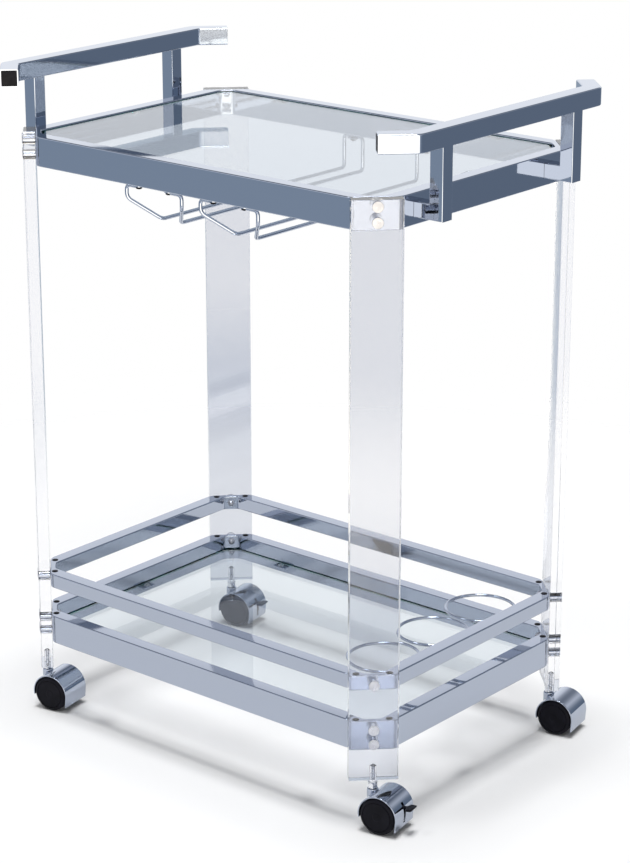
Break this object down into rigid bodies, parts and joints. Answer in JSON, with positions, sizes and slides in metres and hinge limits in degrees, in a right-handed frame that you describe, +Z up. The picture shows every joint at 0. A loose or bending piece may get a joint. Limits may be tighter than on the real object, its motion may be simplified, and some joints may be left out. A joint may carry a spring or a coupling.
{
  "type": "bar cart",
  "caption": "Wheeled bar cart with two glass shelves in chromed tube frames, clear plate legs, a gallery rail, stemware racks, bottle rings and push handles.",
  "frame": {"origin": "on the floor under the middle of the cart, between the four legs", "axes": "+Z up, +X along the long side towards the handle that is next to the bottle rings, -Y towards the front, where the stemware racks open"},
  "size_m": [0.7088, 0.452, 0.9075],
  "materials": {
    "chrome": "mirror polished chrome plate on steel tube and wire",
    "nickel": "satin nickel plate",
    "steel": "bright zinc plate",
    "glass": "clear float glass with polished, slightly green edges",
    "acrylic": "clear cast acrylic with polished edges",
    "black_plastic": "black nylon with a fine moulded sheen"
  },
  "bodies": {
    "root": {"bolt_front_left_gallery": "nickel", "bolt_front_left_top_lower": "nickel", "bolt_front_left_top_upper": "nickel", "bolt_front_left_tray_lower": "nickel", "bolt_front_left_tray_upper": "nickel", "bolt_front_right_gallery": "nickel", "bolt_front_right_top_lower": "nickel", "bolt_front_right_top_upper": "nickel", "bolt_front_right_tray_lower": "nickel", "bolt_front_right_tray_upper": "nickel", "bolt_rear_left_gallery": "nickel", "bolt_rear_left_top_lower": "nickel", "bolt_rear_left_top_upper": "nickel", "bolt_rear_left_tray_lower": "nickel", "bolt_rear_left_tray_upper": "nickel", "bolt_rear_right_gallery": "nickel", "bolt_rear_right_top_lower": "nickel", "bolt_rear_right_top_upper": "nickel", "bolt_rear_right_tray_lower": "nickel", "bolt_rear_right_tray_upper": "nickel", "bottle_rings": "chrome", "caster_front_left_stem": "steel", "caster_front_right_stem": "steel", "caster_rear_left_stem": "steel", "caster_rear_right_stem": "steel", "end_cap_left_front": "black_plastic", "end_cap_left_rear": "black_plastic", "end_cap_right_front": "black_plastic", "end_cap_right_rear": "black_plastic", "gallery_rail": "chrome", "handle_left": "chrome", "handle_right": "chrome", "leg_front_left": "acrylic", "leg_front_right": "acrylic", "leg_rear_left": "acrylic", "leg_rear_right": "acrylic", "stemware_rack_left": "chrome", "stemware_rack_right": "chrome", "top_frame": "chrome", "top_glass": "glass", "tray_frame": "chrome", "tray_glass": "glass"},
    "caster_front_left": {"caster_front_left_hood": "chrome", "caster_front_left_axle": "steel"},
    "wheel_front_left_front": {"caster_front_left_wheel_front": "black_plastic"},
    "wheel_front_left_rear": {"caster_front_left_wheel_rear": "black_plastic"},
    "caster_front_right": {"caster_front_right_hood": "chrome", "caster_front_right_axle": "steel"},
    "wheel_front_right_front": {"caster_front_right_wheel_front": "black_plastic"},
    "wheel_front_right_rear": {"caster_front_right_wheel_rear": "black_plastic"},
    "brake_front_right": {"caster_front_right_brake": "black_plastic"},
    "caster_rear_left": {"caster_rear_left_hood": "chrome", "caster_rear_left_axle": "steel"},
    "wheel_rear_left_front": {"caster_rear_left_wheel_front": "black_plastic"},
    "wheel_rear_left_rear": {"caster_rear_left_wheel_rear": "black_plastic"},
    "brake_rear_left": {"caster_rear_left_brake": "black_plastic"},
    "caster_rear_right": {"caster_rear_right_hood": "chrome", "caster_rear_right_axle": "steel"},
    "wheel_rear_right_front": {"caster_rear_right_wheel_front": "black_plastic"},
    "wheel_rear_right_rear": {"caster_rear_right_wheel_rear": "black_plastic"}
  },
  "joints": [
    {"name": "front_left_swivel", "type": "hinge", "parent": "root", "child": "caster_front_left", "pos_m": [-0.29505, -0.19505, 0.05], "axis": [0, 0, 1], "continuous": true},
    {"name": "wheel_front_left_front_spin", "type": "hinge", "parent": "caster_front_left", "child": "wheel_front_left_front", "pos_m": [-0.2764, -0.19142, 0.025], "axis": [-0.1908, 0.9816, 0], "continuous": true},
    {"name": "wheel_front_left_rear_spin", "type": "hinge", "parent": "caster_front_left", "child": "wheel_front_left_rear", "pos_m": [-0.2764, -0.19142, 0.025], "axis": [-0.1908, 0.9816, 0], "continuous": true},
    {"name": "front_right_swivel", "type": "hinge", "parent": "root", "child": "caster_front_right", "pos_m": [0.29505, -0.19505, 0.05], "axis": [0, 0, 1], "continuous": true},
    {"name": "wheel_front_right_front_spin", "type": "hinge", "parent": "caster_front_right", "child": "wheel_front_right_front", "pos_m": [0.3137, -0.19142, 0.025], "axis": [-0.1908, 0.9816, 0], "continuous": true},
    {"name": "wheel_front_right_rear_spin", "type": "hinge", "parent": "caster_front_right", "child": "wheel_front_right_rear", "pos_m": [0.3137, -0.19142, 0.025], "axis": [-0.1908, 0.9816, 0], "continuous": true},
    {"name": "brake_front_right_press", "type": "hinge", "parent": "caster_front_right", "child": "brake_front_right", "pos_m": [0.32449, -0.18932, 0.036], "axis": [-0.1908, 0.9816, 0], "range_deg": [0, 12]},
    {"name": "rear_left_swivel", "type": "hinge", "parent": "root", "child": "caster_rear_left", "pos_m": [-0.29505, 0.19505, 0.05], "axis": [0, 0, 1], "continuous": true},
    {"name": "wheel_rear_left_front_spin", "type": "hinge", "parent": "caster_rear_left", "child": "wheel_rear_left_front", "pos_m": [-0.2764, 0.19867, 0.025], "axis": [-0.1908, 0.9816, 0], "continuous": true},
    {"name": "wheel_rear_left_rear_spin", "type": "hinge", "parent": "caster_rear_left", "child": "wheel_rear_left_rear", "pos_m": [-0.2764, 0.19867, 0.025], "axis": [-0.1908, 0.9816, 0], "continuous": true},
    {"name": "brake_rear_left_press", "type": "hinge", "parent": "caster_rear_left", "child": "brake_rear_left", "pos_m": [-0.2656, 0.20077, 0.036], "axis": [-0.1908, 0.9816, 0], "range_deg": [0, 12]},
    {"name": "rear_right_swivel", "type": "hinge", "parent": "root", "child": "caster_rear_right", "pos_m": [0.29505, 0.19505, 0.05], "axis": [0, 0, 1], "continuous": true},
    {"name": "wheel_rear_right_front_spin", "type": "hinge", "parent": "caster_rear_right", "child": "wheel_rear_right_front", "pos_m": [0.3137, 0.19867, 0.025], "axis": [-0.1908, 0.9816, 0], "continuous": true},
    {"name": "wheel_rear_right_rear_spin", "type": "hinge", "parent": "caster_rear_right", "child": "wheel_rear_right_rear", "pos_m": [0.3137, 0.19867, 0.025], "axis": [-0.1908, 0.9816, 0], "continuous": true}
  ]
}
